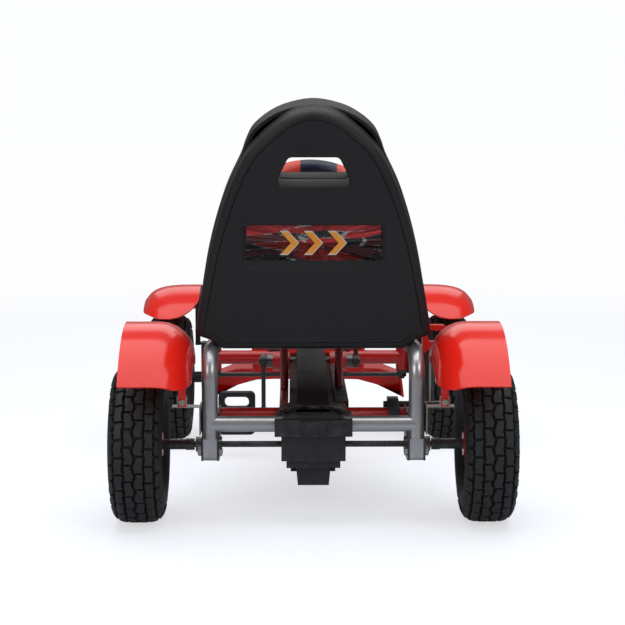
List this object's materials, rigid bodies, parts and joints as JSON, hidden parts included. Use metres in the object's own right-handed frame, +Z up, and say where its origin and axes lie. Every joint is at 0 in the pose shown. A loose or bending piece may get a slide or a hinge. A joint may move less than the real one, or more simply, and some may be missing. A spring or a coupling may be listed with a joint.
{
  "type": "pedal go kart",
  "caption": "Child's pedal go kart with a bucket seat, chain drive to the rear axle, column steering, fenders, nose fairing and a hand brake.",
  "frame": {"origin": "on the ground, centred under the whole kart", "axes": "+X to the driver's right, +Y forward in the direction of travel, +Z up"},
  "size_m": [0.65, 1.1298, 0.677],
  "materials": {
    "red_paint": "gloss",
    "black_paint": "satin",
    "silver_paint": "satin metallic",
    "seat_plastic": "fine grain",
    "case_plastic": "satin",
    "gloss_black": "gloss",
    "red_plastic": "gloss",
    "printed_sheet": "printed",
    "zinc_steel": "zinc plated",
    "oiled_steel": "oiled",
    "bearing_steel": "ground",
    "nylon": "natural",
    "rubber": "moulded",
    "wheel_grip": "two-tone moulded",
    "tyre_rubber": "moulded tread",
    "red_rim": "gloss",
    "cap_plastic": "satin"
  },
  "bodies": {
    "root": {"main_frame": "red_paint", "front_axle_beam": "red_paint", "nose_bracket": "black_paint", "seat_support_frame": "silver_paint", "axle_brackets": "black_paint", "axle_bearings": "bearing_steel", "chain_guard": "gloss_black", "chain_guard_lower": "gloss_black", "rear_case_lid": "case_plastic", "rear_case_tub": "case_plastic", "drive_chain": "oiled_steel", "seat_front_shell": "seat_plastic", "seat_back_shell": "seat_plastic", "seat_decal": "printed_sheet", "rear_fender_left": "red_plastic", "rear_fender_right": "red_plastic", "fender_stays": "zinc_steel", "nose_panel": "red_plastic", "steering_bushes": "nylon", "crank_bearings": "bearing_steel", "brake_mount": "black_paint", "frame_bolts": "zinc_steel", "seat_bolts": "zinc_steel", "fender_bolts": "zinc_steel"},
    "axle": {"rear_axle": "black_paint", "axle_hardware": "black_paint", "rear_sprocket": "oiled_steel", "tyre_rear_right": "tyre_rubber", "rim_rear_right": "red_rim", "hub_cap_rear_right": "cap_plastic"},
    "wheel_rear_left": {"tyre_rear_left": "tyre_rubber", "rim_rear_left": "red_rim", "hub_cap_rear_left": "cap_plastic", "hub_bearings_rear_left": "bearing_steel"},
    "crank": {"crank_axle": "black_paint", "crank_arm_left": "black_paint", "crank_arm_right": "black_paint", "front_sprocket": "oiled_steel"},
    "pedal_left": {"pedal_left": "case_plastic"},
    "pedal_right": {"pedal_right": "case_plastic"},
    "steering": {"steering_column": "black_paint", "steering_wheel": "wheel_grip", "steering_pad": "gloss_black"},
    "brake": {"brake_lever": "black_paint", "brake_shoes": "rubber", "brake_grip": "red_plastic"},
    "knuckle_left": {"knuckle_left": "black_paint", "front_fender_left": "red_plastic"},
    "wheel_front_left": {"tyre_front_left": "tyre_rubber", "rim_front_left": "red_rim", "hub_cap_front_left": "cap_plastic", "hub_bearings_front_left": "bearing_steel"},
    "tie_rod_left": {"tie_rod_left": "black_paint"},
    "knuckle_right": {"knuckle_right": "black_paint", "front_fender_right": "red_plastic"},
    "wheel_front_right": {"tyre_front_right": "tyre_rubber", "rim_front_right": "red_rim", "hub_cap_front_right": "cap_plastic", "hub_bearings_front_right": "bearing_steel"},
    "tie_rod_right": {"tie_rod_right": "black_paint"}
  },
  "joints": [
    {"name": "axle_spin", "type": "hinge", "parent": "root", "child": "axle", "pos_m": [0, -0.40713, 0.125], "axis": [-1, 0, 0], "continuous": true},
    {"name": "wheel_rear_left_spin", "type": "hinge", "parent": "axle", "child": "wheel_rear_left", "pos_m": [-0.278, -0.40713, 0.125], "axis": [-1, 0, 0], "continuous": true},
    {"name": "crank_spin", "type": "hinge", "parent": "root", "child": "crank", "pos_m": [0, 0.11672, 0.183], "axis": [-1, 0, 0], "continuous": true},
    {"name": "pedal_left_spin", "type": "hinge", "parent": "crank", "child": "pedal_left", "pos_m": [-0.144, 0.11672, 0.083], "axis": [-1, 0, 0], "continuous": true},
    {"name": "pedal_right_spin", "type": "hinge", "parent": "crank", "child": "pedal_right", "pos_m": [0.144, 0.11672, 0.283], "axis": [-1, 0, 0], "continuous": true},
    {"name": "steering_turn", "type": "hinge", "parent": "root", "child": "steering", "pos_m": [0, 0.30176, 0.11157], "axis": [0, -0.6428, 0.766], "range_deg": [-25, 25]},
    {"name": "knuckle_left_turn", "type": "hinge", "parent": "root", "child": "knuckle_left", "pos_m": [-0.189, 0.29287, 0.165], "axis": [0, 0, 1], "range_deg": [-25, 25]},
    {"name": "tie_rod_left_swing", "type": "hinge", "parent": "knuckle_left", "child": "tie_rod_left", "pos_m": [-0.189, 0.33087, 0.124], "axis": [0, 0, 1], "range_deg": [-25, 25]},
    {"name": "wheel_front_left_spin", "type": "hinge", "parent": "knuckle_left", "child": "wheel_front_left", "pos_m": [-0.277, 0.29287, 0.125], "axis": [-1, 0, 0], "continuous": true},
    {"name": "knuckle_right_turn", "type": "hinge", "parent": "root", "child": "knuckle_right", "pos_m": [0.189, 0.29287, 0.165], "axis": [0, 0, 1], "range_deg": [-25, 25]},
    {"name": "tie_rod_right_swing", "type": "hinge", "parent": "knuckle_right", "child": "tie_rod_right", "pos_m": [0.189, 0.33087, 0.124], "axis": [0, 0, 1], "range_deg": [-25, 25]},
    {"name": "wheel_front_right_spin", "type": "hinge", "parent": "knuckle_right", "child": "wheel_front_right", "pos_m": [0.277, 0.29287, 0.125], "axis": [-1, 0, 0], "continuous": true},
    {"name": "brake_pull", "type": "hinge", "parent": "root", "child": "brake", "pos_m": [0.192, -0.34513, 0.178], "axis": [1, 0, 0], "range_deg": [0, 15], "stiffness_Nm_per_rad": 2}
  ],
  "couplings": [
    {"joint": "crank_spin", "follows": "axle_spin", "ratio": 0.5},
    {"joint": "knuckle_left_turn", "follows": "steering_turn", "ratio": 1},
    {"joint": "tie_rod_left_swing", "follows": "steering_turn", "ratio": -1},
    {"joint": "knuckle_right_turn", "follows": "steering_turn", "ratio": 1},
    {"joint": "tie_rod_right_swing", "follows": "steering_turn", "ratio": -1}
  ]
}
